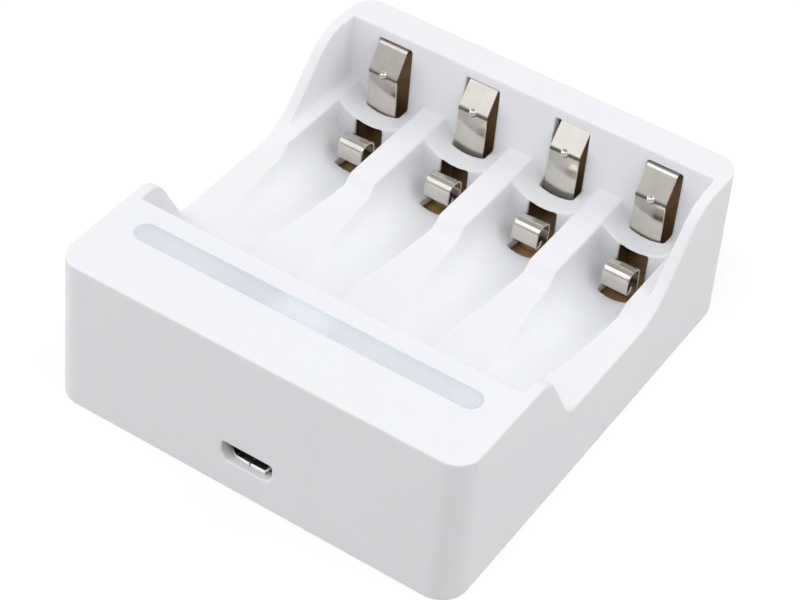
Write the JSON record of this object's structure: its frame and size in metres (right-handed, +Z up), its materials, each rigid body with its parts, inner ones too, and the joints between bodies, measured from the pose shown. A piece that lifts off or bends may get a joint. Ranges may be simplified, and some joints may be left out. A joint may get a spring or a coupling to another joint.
{
  "type": "battery charger",
  "caption": "White desktop charger with open stepped bays for round cells of two sizes, sprung nickel contacts, a light bar on the front block and a small power socket.",
  "frame": {"origin": "middle of the underside, on the surface the charger stands on", "axes": "+X along the front face to the right, +Y from the front face to the rear wall, +Z up"},
  "size_m": [0.073, 0.083, 0.0291],
  "materials": {
    "white_plastic": "fine satin moulding",
    "diffuser": "milky translucent",
    "nickel_strip": "nickel plated",
    "socket_steel": "tin plated",
    "screw_steel": "zinc plated",
    "board": "brown phenolic laminate",
    "black_plastic": "moulded",
    "ferrite": "sintered",
    "ceramic_chip": "fired",
    "lamp": "clear cast"
  },
  "bodies": {
    "case": {"upper_shell": "white_plastic", "base_cover": "white_plastic", "light_bar": "diffuser", "circuit_board": "board", "rear_board": "board", "status_led_1": "lamp", "status_led_2": "lamp", "status_led_3": "lamp", "status_led_4": "lamp", "socket_shell": "socket_steel", "socket_tongue": "black_plastic", "charge_controller": "black_plastic", "power_inductor": "ferrite", "filter_capacitors": "ceramic_chip", "sense_resistors": "black_plastic", "cover_screws": "screw_steel"},
    "aa_spring_1": {"aa_contact_1": "nickel_strip"},
    "aa_spring_2": {"aa_contact_2": "nickel_strip"},
    "aa_spring_3": {"aa_contact_3": "nickel_strip"},
    "aa_spring_4": {"aa_contact_4": "nickel_strip"},
    "aaa_spring_1": {"aaa_contact_1": "nickel_strip"},
    "aaa_spring_2": {"aaa_contact_2": "nickel_strip"},
    "aaa_spring_3": {"aaa_contact_3": "nickel_strip"},
    "aaa_spring_4": {"aaa_contact_4": "nickel_strip"},
    "negative_spring_1": {"negative_contact_1": "nickel_strip"},
    "negative_spring_2": {"negative_contact_2": "nickel_strip"},
    "negative_spring_3": {"negative_contact_3": "nickel_strip"},
    "negative_spring_4": {"negative_contact_4": "nickel_strip"}
  },
  "joints": [
    {"name": "aa_press_1", "type": "hinge", "parent": "case", "child": "aa_spring_1", "pos_m": [-0.0258, 0.03308, 0.0059], "axis": [-1, 0, 0], "range_deg": [0, 5.8], "stiffness_Nm_per_rad": 0.2},
    {"name": "aa_press_2", "type": "hinge", "parent": "case", "child": "aa_spring_2", "pos_m": [-0.0087, 0.03308, 0.0059], "axis": [-1, 0, 0], "range_deg": [0, 2.6], "stiffness_Nm_per_rad": 0.2},
    {"name": "aa_press_3", "type": "hinge", "parent": "case", "child": "aa_spring_3", "pos_m": [0.00855, 0.03308, 0.0059], "axis": [-1, 0, 0], "range_deg": [0, 1], "stiffness_Nm_per_rad": 0.2},
    {"name": "aa_press_4", "type": "hinge", "parent": "case", "child": "aa_spring_4", "pos_m": [0.0252, 0.03308, 0.0059], "axis": [-1, 0, 0], "range_deg": [0, 5.8], "stiffness_Nm_per_rad": 0.2},
    {"name": "aaa_press_1", "type": "hinge", "parent": "case", "child": "aaa_spring_1", "pos_m": [-0.0255, 0.02641, 0.0059], "axis": [-1, 0, 0], "range_deg": [0, 9], "stiffness_Nm_per_rad": 0.05},
    {"name": "aaa_press_2", "type": "hinge", "parent": "case", "child": "aaa_spring_2", "pos_m": [-0.0085, 0.02641, 0.0059], "axis": [-1, 0, 0], "range_deg": [0, 4.5], "stiffness_Nm_per_rad": 0.05},
    {"name": "aaa_press_3", "type": "hinge", "parent": "case", "child": "aaa_spring_3", "pos_m": [0.0085, 0.02641, 0.0059], "axis": [-1, 0, 0], "range_deg": [0, 5], "stiffness_Nm_per_rad": 0.05},
    {"name": "aaa_press_4", "type": "hinge", "parent": "case", "child": "aaa_spring_4", "pos_m": [0.0255, 0.02641, 0.0059], "axis": [-1, 0, 0], "range_deg": [0, 9], "stiffness_Nm_per_rad": 0.05},
    {"name": "negative_press_1", "type": "hinge", "parent": "case", "child": "negative_spring_1", "pos_m": [-0.0255, -0.01934, 0.0059], "axis": [1, 0, 0], "range_deg": [0, 6], "stiffness_Nm_per_rad": 0.2},
    {"name": "negative_press_2", "type": "hinge", "parent": "case", "child": "negative_spring_2", "pos_m": [-0.0085, -0.01934, 0.0059], "axis": [1, 0, 0], "range_deg": [0, 6], "stiffness_Nm_per_rad": 0.2},
    {"name": "negative_press_3", "type": "hinge", "parent": "case", "child": "negative_spring_3", "pos_m": [0.0085, -0.01934, 0.0059], "axis": [1, 0, 0], "range_deg": [0, 6], "stiffness_Nm_per_rad": 0.2},
    {"name": "negative_press_4", "type": "hinge", "parent": "case", "child": "negative_spring_4", "pos_m": [0.0255, -0.01934, 0.0059], "axis": [1, 0, 0], "range_deg": [0, 6], "stiffness_Nm_per_rad": 0.2}
  ]
}
